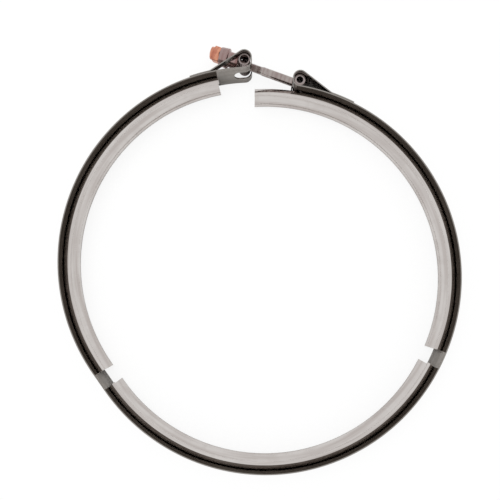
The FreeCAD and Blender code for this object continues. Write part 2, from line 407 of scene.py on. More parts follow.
def loop_piece(name, points):
    return new_piece(name, points, [(i, (i + 1) % len(points)) for i in range(len(points))])


# ---------------------------------------------------------------- node helpers

def node(tree, kind, inputs=None, **settings):
    """Adds a node, sets its options, and sets or links its inputs."""
    made = tree.nodes.new(kind)
    for key, value in settings.items():
        setattr(made, key, value)
    for key, value in (inputs or {}).items():
        if isinstance(value, bpy.types.NodeSocket):
            tree.links.new(value, made.inputs[key])
        else:
            made.inputs[key].default_value = value
    return made


def maths(tree, operation, *values):
    made = tree.nodes.new("ShaderNodeMath")
    made.operation = operation
    for i, value in enumerate(values):
        if isinstance(value, bpy.types.NodeSocket):
            tree.links.new(value, made.inputs[i])
        else:
            made.inputs[i].default_value = value
    return made.outputs[0]


def vector_maths(tree, operation, inputs):
    return node(tree, "ShaderNodeVectorMath", inputs, operation=operation)


def sockets(tree, inputs, outputs):
    """Gives a node group its named sockets: (name, kind, value) in, (name, kind) out."""
    for name, kind, value in inputs:
        socket = tree.interface.new_socket(name, in_out="INPUT", socket_type=kind)
        if value is not None:
            socket.default_value = value
    for name, kind in outputs:
        tree.interface.new_socket(name, in_out="OUTPUT", socket_type=kind)
    return node(tree, "NodeGroupInput").outputs, node(tree, "NodeGroupOutput").inputs


def grow(tree, name, **inputs):
    """What a geometry tree makes from its named inputs, as a plain mesh."""
    piece = new_piece(name)
    shaper = piece.modifiers.new("shape", "NODES")
    shaper.node_group = tree
    for item in tree.interface.items_tree:
        key = item.name.lower().replace(" ", "_")
        if item.item_type == "SOCKET" and item.in_out == "INPUT" and key in inputs:
            shaper[item.identifier] = inputs[key]
    bpy.context.view_layer.update()
    return settle(piece)


# ---------------------------------------------------------------- geometry trees

def swept_section_tree():
    """A section that follows a flat path. Its ends can lean, so that the deep side stands out."""
    tree = bpy.data.node_groups.new("swept_section", "GeometryNodeTree")
    given, out = sockets(tree, [
        ("Path", "NodeSocketObject", None),
        ("Section", "NodeSocketObject", None),
        ("Centre", "NodeSocketVector", (0, 0, 0)),
        ("Upright Radius", "NodeSocketFloat", 0.162),
        ("Lean", "NodeSocketFloat", 0.0),
        ("Finish", "NodeSocketMaterial", None),
    ], [("Geometry", "NodeSocketGeometry")])
    path = node(tree, "GeometryNodeObjectInfo", {"Object": given["Path"]})
    section = node(tree, "GeometryNodeObjectInfo", {"Object": given["Section"]})
    route = node(tree, "GeometryNodeMeshToCurve", {"Mesh": path.outputs["Geometry"]})
    upright = node(tree, "GeometryNodeSetCurveNormal", {"Curve": route.outputs[0]})
    upright.mode = "Z_UP"
    profile = node(tree, "GeometryNodeMeshToCurve", {"Mesh": section.outputs["Geometry"]})
    along = node(tree, "GeometryNodeSplineParameter")
    tangent = node(tree, "GeometryNodeInputTangent")
    across = node(tree, "GeometryNodeSplineParameter")
    kept = node(tree, "GeometryNodeCaptureAttribute", {"Geometry": upright.outputs[0]})
    kept.capture_items.new("FLOAT", "Factor")
    kept.capture_items.new("FLOAT", "Length")
    kept.capture_items.new("VECTOR", "Tangent")
    tree.links.new(along.outputs["Factor"], kept.inputs["Factor"])
    tree.links.new(along.outputs["Length"], kept.inputs["Length"])
    tree.links.new(tangent.outputs[0], kept.inputs["Tangent"])
    girth = node(tree, "GeometryNodeCaptureAttribute", {"Geometry": profile.outputs[0]})
    girth.capture_items.new("FLOAT", "Girth")
    tree.links.new(across.outputs["Length"], girth.inputs["Girth"])
    sweep = node(tree, "GeometryNodeCurveToMesh", {
        "Curve": kept.outputs["Geometry"], "Profile Curve": girth.outputs["Geometry"], "Fill Caps": True})
    spot = node(tree, "GeometryNodeInputPosition")
    from_centre = vector_maths(tree, "SUBTRACT", {0: spot.outputs[0], 1: given["Centre"]})
    flat = vector_maths(tree, "MULTIPLY", {0: from_centre.outputs[0], 1: (1, 1, 0)})
    radius = vector_maths(tree, "LENGTH", {0: flat.outputs[0]})
    depth = maths(tree, "SUBTRACT", given["Upright Radius"], radius.outputs["Value"])
    ends = maths(tree, "MULTIPLY_ADD", kept.outputs["Factor"], 2.0, -1.0)
    shift = maths(tree, "MULTIPLY", maths(tree, "MULTIPLY", depth, given["Lean"]), ends)
    slide = vector_maths(tree, "SCALE", {0: kept.outputs["Tangent"], "Scale": shift})
    leaning = node(tree, "GeometryNodeSetPosition", {
        "Geometry": sweep.outputs[0], "Offset": slide.outputs[0]})
    chart = node(tree, "ShaderNodeCombineXYZ", {0: kept.outputs["Length"], 1: girth.outputs["Girth"]})
    mapped = node(tree, "GeometryNodeStoreNamedAttribute", {
        "Geometry": leaning.outputs[0], "Name": "UVMap", "Value": chart.outputs[0]},
        data_type="FLOAT2", domain="CORNER")
    whole = node(tree, "GeometryNodeRealizeInstances", {"Geometry": mapped.outputs[0]})
    finished = node(tree, "GeometryNodeSetMaterial", {
        "Geometry": whole.outputs[0], "Material": given["Finish"]})
    tree.links.new(finished.outputs[0], out["Geometry"])
    return tree


def weld_row_tree():
    """Spot-weld marks round an arc, in one or more rows, each facing outwards."""
    tree = bpy.data.node_groups.new("weld_row", "GeometryNodeTree")
    given, out = sockets(tree, [
        ("Mark", "NodeSocketObject", None),
        ("Centre", "NodeSocketVector", (0, 0, 0)),
        ("Radius", "NodeSocketFloat", 0.16),
        ("First Angle", "NodeSocketFloat", 0.0),
        ("Angle Step", "NodeSocketFloat", 0.2),
        ("Columns", "NodeSocketInt", 1),
        ("Rows", "NodeSocketInt", 1),
        ("Row Spacing", "NodeSocketFloat", 0.0),
        ("Finish", "NodeSocketMaterial", None),
    ], [("Geometry", "NodeSocketGeometry")])
    mark = node(tree, "GeometryNodeObjectInfo", {"Object": given["Mark"]})
    count = maths(tree, "MULTIPLY", given["Columns"], given["Rows"])
    number = node(tree, "GeometryNodeInputIndex").outputs[0]
    column = maths(tree, "FLOORED_MODULO", number, given["Columns"])
    row = maths(tree, "FLOOR", maths(tree, "DIVIDE", number, given["Columns"]))
    angle = maths(tree, "MULTIPLY_ADD", column, given["Angle Step"], given["First Angle"])
    middle = maths(tree, "MULTIPLY", maths(tree, "SUBTRACT", given["Rows"], 1.0), 0.5)
    height = maths(tree, "MULTIPLY", maths(tree, "SUBTRACT", row, middle), given["Row Spacing"])
    x = maths(tree, "MULTIPLY", maths(tree, "COSINE", angle), given["Radius"])
    y = maths(tree, "MULTIPLY", maths(tree, "SINE", angle), given["Radius"])
    local = node(tree, "ShaderNodeCombineXYZ", {0: x, 1: y, 2: height})
    spot = vector_maths(tree, "ADD", {0: local.outputs[0], 1: given["Centre"]})
    facing = node(tree, "ShaderNodeCombineXYZ", {2: angle})
    points = node(tree, "GeometryNodePoints", {"Count": count, "Position": spot.outputs[0]})
    spin = node(tree, "FunctionNodeEulerToRotation", {0: facing.outputs[0]})
    marks = node(tree, "GeometryNodeInstanceOnPoints", {
        "Points": points.outputs[0], "Instance": mark.outputs["Geometry"], "Rotation": spin.outputs[0]})
    whole = node(tree, "GeometryNodeRealizeInstances", {"Geometry": marks.outputs[0]})
    finished = node(tree, "GeometryNodeSetMaterial", {
        "Geometry": whole.outputs[0], "Material": given["Finish"]})
    tree.links.new(finished.outputs[0], out["Geometry"])
    return tree


# ---------------------------------------------------------------- shader groups

def drawn_grain_group():
    """Fine lines left by rolling or turning: they run along the first coordinate."""
    tree = bpy.data.node_groups.new("drawn_grain", "ShaderNodeTree")
    given, out = sockets(tree, [
        ("Vector", "NodeSocketVector", None),
        ("Line Length", "NodeSocketFloat", 0.03),
        ("Line Pitch", "NodeSocketFloat", 0.0003),
    ], [("Lines", "NodeSocketFloat"), ("Bands", "NodeSocketFloat")])
    scale = node(tree, "ShaderNodeCombineXYZ", {
        0: maths(tree, "DIVIDE", 1.0, given["Line Length"]),
        1: maths(tree, "DIVIDE", 1.0, given["Line Pitch"])})
    stretched = vector_maths(tree, "MULTIPLY", {0: given["Vector"], 1: scale.outputs[0]})
    lines = node(tree, "ShaderNodeTexNoise", {
        "Vector": stretched.outputs[0], "Scale": 1.0, "Detail": 3.0, "Roughness": 0.6})
    wide = vector_maths(tree, "MULTIPLY", {0: stretched.outputs[0], 1: (0.6, 0.12, 1)})
    bands = node(tree, "ShaderNodeTexNoise", {
        "Vector": wide.outputs[0], "Scale": 1.0, "Detail": 2.0, "Roughness": 0.5})
    tree.links.new(lines.outputs["Fac"], out["Lines"])
    tree.links.new(bands.outputs["Fac"], out["Bands"])
    return tree


def handling_group():
    """Smudges and stray scratches from handling."""
    tree = bpy.data.node_groups.new("handling", "ShaderNodeTree")
    given, out = sockets(tree, [
        ("Vector", "NodeSocketVector", None),
        ("Smudge Size", "NodeSocketFloat", 0.012),
        ("Scratch Pitch", "NodeSocketFloat", 0.004),
    ], [("Smudges", "NodeSocketFloat"), ("Scratches", "NodeSocketFloat")])
    coarse = vector_maths(tree, "SCALE", {
        0: given["Vector"], "Scale": maths(tree, "DIVIDE", 1.0, given["Smudge Size"])})
    cloud = node(tree, "ShaderNodeTexNoise", {
        "Vector": coarse.outputs[0], "Scale": 1.0, "Detail": 4.0, "Roughness": 0.55, "Distortion": 0.6})
    smudge = node(tree, "ShaderNodeMapRange", {
        "Value": cloud.outputs["Fac"], "From Min": 0.42, "From Max": 0.68}, interpolation_type="SMOOTHSTEP")
    fine = vector_maths(tree, "SCALE", {
        0: given["Vector"], "Scale": maths(tree, "DIVIDE", 1.0, given["Scratch Pitch"])})
    slanted = node(tree, "ShaderNodeMapping", {
        "Vector": fine.outputs[0], "Rotation": (0.5, 0.3, 0.7), "Scale": (0.25, 6.0, 2.0)})
    hairs = node(tree, "ShaderNodeTexNoise", {
        "Vector": slanted.outputs[0], "Scale": 1.0, "Detail": 1.0, "Distortion": 0.3})
    scratch = node(tree, "ShaderNodeMapRange", {
        "Value": hairs.outputs["Fac"], "From Min": 0.66, "From Max": 0.72}, interpolation_type="SMOOTHSTEP")
    tree.links.new(smudge.outputs["Result"], out["Smudges"])
    tree.links.new(scratch.outputs["Result"], out["Scratches"])
    return tree


def weathered_colour_group():
    """A metal's colour, varied by the grain's bands and dulled by smudges."""
    tree = bpy.data.node_groups.new("weathered_colour", "ShaderNodeTree")
    given, out = sockets(tree, [
        ("Clean", "NodeSocketColor", (0.8, 0.8, 0.8, 1)),
        ("Toned", "NodeSocketColor", (0.7, 0.66, 0.62, 1)),
        ("Bands", "NodeSocketFloat", 0.5),
        ("Smudges", "NodeSocketFloat", 0.0),
        ("Scratches", "NodeSocketFloat", 0.0),
    ], [("Color", "NodeSocketColor")])
    banded = node(tree, "ShaderNodeMapRange", {
        "Value": given["Bands"], "From Min": 0.35, "From Max": 0.7}, interpolation_type="SMOOTHSTEP")
    toned = node(tree, "ShaderNodeMix", {0: banded.outputs["Result"], 6: given["Clean"], 7: given["Toned"]},
                 data_type="RGBA")
    dull = node(tree, "ShaderNodeMix", {
        0: maths(tree, "MULTIPLY", given["Smudges"], 0.35), 6: toned.outputs[2], 7: given["Toned"]},
        data_type="RGBA")
    worn = node(tree, "ShaderNodeMix", {
        0: maths(tree, "MULTIPLY", given["Scratches"], 0.4), 6: dull.outputs[2], 7: given["Clean"]},
        data_type="RGBA")
    tree.links.new(worn.outputs[2], out["Color"])
    return tree


def painted_seam_shade_group():
    """Painted shade: darkening beside the corners of a section, on the side that lies in the band, where the
    crevice shadow falls.
    """
    tree = bpy.data.node_groups.new("seam_dirt", "ShaderNodeTree")
    given, out = sockets(tree, [
        ("Position", "NodeSocketVector", None),
        ("Chart", "NodeSocketVector", None),
        ("Half Width", "NodeSocketFloat", 0.0030),
        ("Spread", "NodeSocketFloat", 0.0009),
        ("Outer Girth", "NodeSocketFloat", 0.0275),
    ], [("Dirt", "NodeSocketFloat")])
    place_of = node(tree, "ShaderNodeSeparateXYZ", {0: given["Position"]})
    chart_of = node(tree, "ShaderNodeSeparateXYZ", {0: given["Chart"]})
    height = maths(tree, "ABSOLUTE", place_of.outputs["Z"])
    ragged = node(tree, "ShaderNodeTexNoise", {"Vector": given["Position"], "Scale": 260.0, "Detail": 2.0})
    reach = maths(tree, "MULTIPLY_ADD", ragged.outputs["Fac"], given["Spread"], given["Half Width"])
    fade = node(tree, "ShaderNodeMapRange", {
        "Value": maths(tree, "SUBTRACT", height, reach), "From Min": 0.0003, "From Max": -0.0005},
        interpolation_type="SMOOTHSTEP")
    outer = maths(tree, "LESS_THAN", chart_of.outputs["Y"], given["Outer Girth"])
    tree.links.new(maths(tree, "MULTIPLY", fade.outputs["Result"], outer), out["Dirt"])
    return tree


drawn_grain = drawn_grain_group()
handling = handling_group()
weathered_colour = weathered_colour_group()
seam_dirt = painted_seam_shade_group()
# Painted shade: the near-black colour laid into the crevices beside the retainer's corners.
painted_shade_colour = (0.10, 0.085, 0.075)


def metal(name, clean, toned, smooth, rough, line_length, line_pitch, relief, smudge=0.012, shade_seams=False):
    """A bare or plated metal. Its grain follows the UV map, and its handling marks the piece itself."""
    made = bpy.data.materials.new(name)
    made.use_nodes = True
    tree = made.node_tree
    shader = tree.nodes["Principled BSDF"]
    shader.inputs["Metallic"].default_value = 1.0
    chart = node(tree, "ShaderNodeUVMap", uv_map="UVMap")
    body = node(tree, "ShaderNodeTexCoord")
    grain = node(tree, "ShaderNodeGroup", node_tree=drawn_grain)
    tree.links.new(chart.outputs[0], grain.inputs["Vector"])
    grain.inputs["Line Length"].default_value = line_length
    grain.inputs["Line Pitch"].default_value = line_pitch
    marks = node(tree, "ShaderNodeGroup", node_tree=handling)
    tree.links.new(body.outputs["Object"], marks.inputs["Vector"])
    marks.inputs["Smudge Size"].default_value = smudge
    colour = node(tree, "ShaderNodeGroup", node_tree=weathered_colour)
    colour.inputs["Clean"].default_value = (*clean, 1)
    colour.inputs["Toned"].default_value = (*toned, 1)
    tree.links.new(grain.outputs["Bands"], colour.inputs["Bands"])
    tree.links.new(marks.outputs["Smudges"], colour.inputs["Smudges"])
    tree.links.new(marks.outputs["Scratches"], colour.inputs["Scratches"])
    mixed = maths(tree, "MULTIPLY_ADD", marks.outputs["Smudges"], 0.35, grain.outputs["Lines"])
    roughness = node(tree, "ShaderNodeMapRange", {
        "Value": mixed, "From Min": 0.3, "From Max": 1.0, "To Min": smooth, "To Max": rough})
    # Painted shade: in the crevices beside the section's corners the base colour goes near black and the
    # roughness rises.
    if shade_seams:
        seam_shade = node(tree, "ShaderNodeGroup", node_tree=seam_dirt)
        tree.links.new(body.outputs["Object"], seam_shade.inputs["Position"])
        tree.links.new(chart.outputs[0], seam_shade.inputs["Chart"])
        shaded_colour = node(tree, "ShaderNodeMix", {
            0: seam_shade.outputs["Dirt"], 6: colour.outputs["Color"], 7: (*painted_shade_colour, 1)}, data_type="RGBA")
        tree.links.new(shaded_colour.outputs[2], shader.inputs["Base Color"])
        dull = maths(tree, "MULTIPLY_ADD", seam_shade.outputs["Dirt"], 0.25, roughness.outputs["Result"])
        tree.links.new(dull, shader.inputs["Roughness"])
    else:
        tree.links.new(colour.outputs["Color"], shader.inputs["Base Color"])
        tree.links.new(roughness.outputs["Result"], shader.inputs["Roughness"])
    grooves = maths(tree, "MULTIPLY", marks.outputs["Scratches"], 0.5)
    height = maths(tree, "SUBTRACT", grain.outputs["Lines"], grooves)
    bump = node(tree, "ShaderNodeBump", {"Height": height, "Strength": 1.0, "Distance": relief})
    tree.links.new(bump.outputs["Normal"], shader.inputs["Normal"])
    return made


band_steel = metal("band_steel", (0.30, 0.28, 0.26), (0.23, 0.21, 0.19), 0.08, 0.26, 0.04, 0.0004, 0.000006)
# The retainers get painted shade in the crevices beside their corners.
retainer_steel = metal("retainer_steel", (0.60, 0.57, 0.55), (0.47, 0.43, 0.41),
                       0.05, 0.18, 0.05, 0.0005, 0.000005, shade_seams=True)
pin_steel = metal("pin_steel", (0.34, 0.30, 0.29), (0.25, 0.20, 0.19), 0.10, 0.24, 0.02, 0.0003, 0.0000012)
bolt_steel = metal("bolt_steel", (0.40, 0.36, 0.34), (0.29, 0.23, 0.22), 0.07, 0.16, 0.02, 0.0003, 0.0000008)
sleeve_steel = metal("sleeve_steel", (0.34, 0.25, 0.24), (0.25, 0.15, 0.14),
                     0.10, 0.24, 0.02, 0.0003, 0.0000012)
nut_copper = metal("nut_copper", (0.72, 0.34, 0.22), (0.48, 0.18, 0.12),
                   0.12, 0.30, 0.01, 0.0004, 0.0000015, 0.004)
weld_steel = metal("weld_steel", (0.62, 0.56, 0.52), (0.42, 0.36, 0.36),
                   0.25, 0.45, 0.002, 0.0004, 0.000004, 0.003)


# ---------------------------------------------------------------- band

swept_section = swept_section_tree()
weld_row = weld_row_tree()


def loop_radius(pin_radius):
    return pin_radius + loop_slack + band_thickness / 2


def latch_side(side):
    """The arm's centre, then its pin's angle, distance from the centre and radius."""
    if side > 0:
        return left_centre, trunnion_angle, trunnion_axis_radius, trunnion_radius
    return right_centre, barrel_angle, barrel_axis_radius, barrel_radius


def strip_section(name):
    """The band's own section: square, with its edges rolled round."""
    half = band_thickness / 2 - sheet_inset
    soft = sheet_edge_radius
    corners = [(-half, -half_width, soft), (half, -half_width, soft),
               (half, half_width, soft), (-half, half_width, soft)]
    return loop_piece(name, filleted(corners, 4))


def band_stations(side):
    """The band from the top of one loop down to the lowest point of the ring.

    side is 1 for the left half, which runs counter-clockwise, and -1 for the right half.
    """
    centre, angle, reach, radius = latch_side(side)
    low = left_low_angle if side > 0 else right_low_angle
    first = bottom_left_angle if side > 0 else bottom_right_angle
    a = loop_radius(radius)
    return [
        local_station(centre, angle, 0, reach + a, 0 if side > 0 else 180),
        local_station(centre, angle, side * a, reach, -90),
        local_station(centre, angle, side * a, middle_radius + a, -90),
        on_circle(centre, middle_radius, angle, side),
        on_circle(centre, middle_radius, low, side),
        on_circle(origin, middle_radius, first, side),
        on_circle(origin, middle_radius, lowest_angle, side),
    ]


def tail_stations(side):
    """One folded end, from the top of its loop to where it stops, flat on the ring."""
    centre, angle, reach, radius = latch_side(side)
    tail = left_tail if side > 0 else right_tail
    loop = loop_radius(radius)
    middle = centre + unit(angle) * reach
    land = angle + side * along_band(tail["reach"])
    end = land + side * along_band(tail["weld"])
    lying = ring_radius + band_thickness / 2 - tail_sink
    bend = centre + unit(land) * (lying + tail_bend_radius)
    between = middle - bend
    lean = math.degrees(math.acos((tail_bend_radius + loop) / between.length))
    normal = unit(angle_of(between) - side * lean)
    off_bend = bend + normal * tail_bend_radius
    on_loop = middle - normal * loop
    straight = (off_bend - on_loop).normalized()
    return [
        (middle + unit(angle) * loop, unit(angle + 90 * side)),
        (on_loop, straight),
        (off_bend, straight),
        on_circle(centre, lying, land, side),
        on_circle(centre, lying, end, side),
    ]


def pin_frame(centre, pin_angle):
    return Matrix.Translation(centre) @ Matrix.Rotation(math.radians(pin_angle - 90), 4, "Z")


def prism(name, outline, y_from, y_to, matrix):
    """A cutting block: an outline of (x, z) points, drawn out along Y."""
    points = [Vector((p.x, y_from, p.y)) for p in outline] + [Vector((p.x, y_to, p.y)) for p in outline]
    piece = new_piece(name, points, (), drawn_faces(len(outline)))
    piece.data.transform(matrix)
    return face_out(piece)


def slot_block(name, matrix, x_from, x_to, y_from, y_to):
    """A slot with round ends; x_from and x_to are the middles of its ends."""
    w = slot_half_width
    end = w * 0.999
    corners = [(x_from - w, -w, end), (x_to + w, -w, end), (x_to + w, w, end), (x_from - w, w, end)]
    return prism(name, filleted(corners, 12), y_from, y_to, matrix)


def strip(name, section, stations, fine=()):
    path = path_piece(name + "_path", chain_points(stations, fine))
    piece = grow(swept_section, name, path=path, section=section, finish=band_steel)
    discard(path)
    return face_out(piece)


def open_seam(piece, matrix, radius):
    """Takes off the end faces at the top of a loop, where the ring and its folded end are one sheet."""
    shape = bmesh.new()
    shape.from_mesh(piece.data)
    inverse = matrix.inverted()
    caps = []
    for face in shape.faces:
        points = [inverse @ v.co for v in face.verts]
        if all(abs(p.x) < 2e-5 and p.y > radius for p in points):
            caps.append(face)
    bmesh.ops.delete(shape, geom=caps, context="FACES")
    shape.to_mesh(piece.data)
    shape.free()
    return piece


def band_half(name, side):
    """Half of the band, from the lowest point of the ring to the end of one folded end."""
    section = strip_section(name + "_section")
    ring = strip(name, section, band_stations(side), fine=(4,))
    tail = strip(name + "_tail", section, tail_stations(side))
    discard(section)
    centre, angle, reach, radius = latch_side(side)
    place_of_pin = pin_frame(centre, angle)
    under = middle_radius - cut_below
    over = reach + cut_above
    if side > 0:
        loop = loop_radius(radius)
        slot = slot_block("slot", place_of_pin, slot_half_width - slot_start, 2 * loop, under, over)
        wide = window_half_width
        near, far = -loop / 2, -(left_tail["reach"] - window_margin)
        corner = window_corner_radius
        corners = [(far, -wide, corner), (near, -wide, corner), (near, wide, corner), (far, wide, corner)]
        window = prism("window", filleted(corners, 8), under, over, place_of_pin)
        cut(ring, [slot])
        cut(tail, [slot, window])
        discard(slot, window)
    else:
        slot = slot_block("slot", place_of_pin, -3 * radius, 0, under, over)
        cut(ring, [slot])
        cut(tail, [slot])
        discard(slot)
    open_seam(ring, place_of_pin, reach)
    open_seam(tail, place_of_pin, reach)
    half = joined(name, [ring, tail])
    return place(face_out(half), Matrix.Identity(4))


left_half = band_half("band_left", 1)
right_half = band_half("band_right", -1)
for half, arm, hinge, angle in ((left_half, "left_arm", left_hinge, left_gap_angle),
                                (right_half, "right_arm", right_hinge, right_gap_angle)):
    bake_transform(half)
    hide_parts("outer_band")


# ---------------------------------------------------------------- retainers

crown_radius = ring_radius - band_thickness - weld_gap - retainer_thickness / 2
foot_radius = crown_radius - leg_depth - lip_depth


def retainer_section(name):
    """The V section about the ring's radius: crown, two legs and two lips, with round bends."""
    half = retainer_thickness / 2
    shoulder = Vector((crown_radius - ring_radius, crown_half_width, 0))
    knee = Vector((shoulder.x - leg_depth, shoulder.y + leg_rise, 0))
    foot = Vector((knee.x - lip_depth, knee.y + lip_rise, 0))
    middle = [foot, knee, shoulder, Vector((shoulder.x, -shoulder.y, 0)), Vector((knee.x, -knee.y, 0)),
              Vector((foot.x, -foot.y, 0))]
    end = foot_radius + foot_trim - ring_radius
    outline = []
    for side in (1, -1):
        chain = offset_chain(middle, side * half)
        chain[0] += (chain[1] - chain[0]) * (end - chain[0].x) / (chain[1].x - chain[0].x)
        chain[-1] += (chain[-2] - chain[-1]) * (end - chain[-1].x) / (chain[-2].x - chain[-1].x)
        bends = [0.2 * mm, lip_bend_radius - side * half, crown_bend_radius + side * half]
        radii = bends + bends[::-1]
        run = [(p.x, p.y, r) for p, r in zip(chain, radii)]
        outline += run if side > 0 else run[::-1]
    return loop_piece(name, filleted(outline, 7))


def retainer(name, centre, from_angle, to_angle, section, finish):
    count = math.ceil((to_angle - from_angle) / arc_step)
    step = (to_angle - from_angle) / count
    points = [centre + unit(from_angle + step * i) * ring_radius for i in range(count + 1)]
    path = path_piece(name + "_path", points)
    drop = 2 * (ring_radius - foot_radius)
    upright = 2 * mm
    piece = grow(swept_section, name, path=path, section=section, centre=centre, finish=finish,
                 upright_radius=ring_radius + upright, lean=2 * foot_overhang / (drop + upright))
    discard(path)
    return place(face_out(piece), Matrix.Identity(4), 28)


section = retainer_section("retainer_section")
retainers = [
    retainer("v_retainer_left", left_centre, left_top_angle, left_low_angle, section, retainer_steel),
    retainer("v_retainer_bottom", origin, bottom_left_angle, bottom_right_angle, section, retainer_steel),
    retainer("v_retainer_right", right_centre, right_low_angle, right_top_angle, section, retainer_steel),
]
discard(section)
for piece, body, cad in zip(retainers, ("left_arm", "ring", "right_arm"),
                            ("retainer_left", "retainer_bottom", "retainer_right")):
    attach(piece, body)
    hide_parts(cad)


# ---------------------------------------------------------------- spot welds

def weld_mark(name):
    """A shallow dish with a low rim, facing along +X."""
    outline = [(-0.12, 0.0), (-0.12, 2.35), (0.0, 2.4), (0.07, 2.1),
               (0.09, 1.9), (0.06, 1.65), (0.03, 1.2), (0.02, 0.0)]
    points = []
    faces = []
    steps = 24
    inner = outline[1:-1]
    count = len(inner)
    for i in range(steps):
        a = 2 * math.pi * i / steps
        points += [round_point(x, r, a) * mm for x, r in inner]
        j = (i + 1) % steps
        for k in range(count - 1):
            faces.append((i * count + k, i * count + k + 1, j * count + k + 1, j * count + k))
    back = len(points)
    points += [Vector((outline[0][0], 0, 0)) * mm, Vector((outline[-1][0], 0, 0)) * mm]
    for i in range(steps):
        j = (i + 1) % steps
        faces.append((back, i * count, j * count))
        faces.append((back + 1, (j + 1) * count - 1, (i + 1) * count - 1))
    piece = face_out(new_piece(name, points, (), faces))
    return place(unwrap_round(piece), Matrix.Identity(4), 60)


def weld_marks(name, body, mark, centre, rows):
    """The marks on one body. rows holds (radius, first angle, angle step, columns, rows, row spacing)."""
    made = []
    for i, (radius, first, step, columns, across, spacing) in enumerate(rows):
        made.append(grow(weld_row, f"{name}_{i}", mark=mark, centre=centre, radius=radius,
                         first_angle=math.radians(first), angle_step=math.radians(step), columns=columns,
                         rows=across, row_spacing=spacing, finish=weld_steel))
    piece = joined(name, made)
    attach(piece, body)


mark = weld_mark("weld_mark")
on_tail = ring_radius + band_thickness - tail_sink
left_land = trunnion_angle + along_band(left_tail["reach"])
right_land = barrel_angle - along_band(right_tail["reach"])
weld_marks("welds_left", "left_arm", mark, left_centre, [
    (ring_radius, 114, 12, 9, 1, 0.0),
    (on_tail, left_land + along_band(9.5 * mm), 0, 1, 2, 11 * mm),
])
weld_marks("welds_bottom", "ring", mark, origin, [(ring_radius, 218, 12, 10, 1, 0.0)])
weld_marks("welds_right", "right_arm", mark, right_centre, [
    (ring_radius, -18, 12, 7, 1, 0.0),
    (on_tail, right_land - along_band(6 * mm), -along_band(8 * mm), 2, 2, 11 * mm),
])
discard(mark)


# ---------------------------------------------------------------- latch

def upright_tube(name, radius, bore, half_length, rim):
    """A tube on the local Z axis with rounded rims."""
    corners = [(-half_length, bore, rim * 0.6), (half_length, bore, rim * 0.6),
               (half_length, radius, rim), (-half_length, radius, rim)]
    piece = lathe(name, filleted(corners, 4), 128)
    unwrap_round(face_out(piece))
    piece.data.transform(Matrix.Rotation(math.radians(-90), 4, "Y"))
    return piece


def round_bar(name, radius, x_from, x_to):
    steps = 72
    points = [round_point(x, radius, 2 * math.pi * i / steps) for x in (x_from, x_to) for i in range(steps)]
    return face_out(new_piece(name, points, (), drawn_faces(steps)))


def dress(piece, finish, body, cad):
    piece.data.materials.clear()
    piece.data.materials.append(finish)
    for face in piece.data.polygons:
        face.material_index = 0
    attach(piece, body)
    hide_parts(cad)


trunnion = upright_tube("trunnion_tube", trunnion_radius, trunnion_bore_radius, trunnion_half, pin_rim)
hole = round_bar("hole", shank_radius + trunnion_hole_clearance, -2 * trunnion_radius, 2 * trunnion_radius)
cut(trunnion, [hole])
discard(hole)
place(trunnion, Matrix.Translation(trunnion_centre - barrel_centre) @ bolt_place)
dress(trunnion, pin_steel, "trunnion_tube", "trunnion")

barrel = upright_tube("t_bolt_barrel", barrel_radius, barrel_bore_radius, barrel_half, pin_rim)
hole = round_bar("hole", shank_radius, barrel_radius - stud_seat_depth, 2 * barrel_radius)
cut(barrel, [hole])
discard(hole)
place(barrel, bolt_place)
dress(barrel, pin_steel, "t_bolt", "bolt_barrel")


# Distances along the bolt, from the barrel's axis
sleeve_face = pin_distance + trunnion_radius + sleeve_standoff
neck_end = sleeve_face + sleeve_neck_length
head_end = neck_end + sleeve_head_length
nut_face = head_end + nut_standoff
nut_back = nut_face + nut_hex_height
nut_top = nut_back + nut_crown_height
stud_tip = nut_top + point_standout


def thread_depth(x):
    """How much of the thread's height is formed at a distance along the stud."""
    share = min(max((x - shank_length - shank_step) / thread_run_out, 0), 1)
    return share * share * (3 - 2 * share)


def stud_radius(x, height):
    """The stud's radius where the thread stands at a height from 0, its root, to 1, its crest."""
    root = thread_radius - (thread_radius - thread_root) * thread_depth(x)
    full = root + (thread_radius - root) * height
    from_tip = stud_tip - x
    return min(full, thread_radius - stud_end_chamfer + max(from_tip, 0))


def threaded_stud(name):
    around = 40
    crest = [(0.0, 1.0), (0.12, 1.0), (0.3, 0.52), (0.44, 0.1), (0.56, 0.0), (0.68, 0.1), (0.82, 0.52)]
    per = len(crest)
    first = shank_length + shank_step
    turns = math.ceil((stud_tip - first) / pitch) + 1
    lines = per * turns
    points = []
    for i in range(around):
        a = 2 * math.pi * i / around
        for j in range(lines + 1):
            share, height = crest[j % per]
            x = first + pitch * (j // per + share + i / around - 1)
            x = min(max(x, first), stud_tip)
            r = stud_radius(x, height)
            points.append(round_point(x, r, a))
    faces = []
    width = lines + 1
    for i in range(around):
        for j in range(lines):
            if i < around - 1:
                faces.append((i * width + j, i * width + j + 1, (i + 1) * width + j + 1, (i + 1) * width + j))
            elif j + per < lines:
                faces.append((i * width + j, i * width + j + 1, j + per + 1, j + per))
    # The first turn starts, and the last one ends, in a flat ring.
    start = barrel_radius - stud_seat_depth
    rings = [(start, 0.0), (start, shank_radius), (shank_length - 0.15 * mm, shank_radius),
             (shank_length, shank_radius - 0.1 * mm), (first, thread_radius)]
    base = len(points)
    for x, r in rings[1:]:
        points += [round_point(x, r, 2 * math.pi * i / around) for i in range(around)]
    for k in range(len(rings) - 2):
        for i in range(around):
            j = (i + 1) % around
            faces.append((base + k * around + i, base + k * around + j, base + (k + 1) * around + j,
                          base + (k + 1) * around + i))
    faces.append(tuple(base + i for i in range(around)))
    flat = len(points)
    r = thread_radius - stud_end_chamfer
    points += [round_point(stud_tip, r, 2 * math.pi * i / around) for i in range(around)]
    faces.append(tuple(flat + i for i in range(around)))
    piece = new_piece(name, points, (), faces)
    return unwrap_round(face_out(piece))


bolt = place(threaded_stud("t_bolt_stud"), bolt_place, 40)
dress(bolt, bolt_steel, "t_bolt", "bolt_stud")

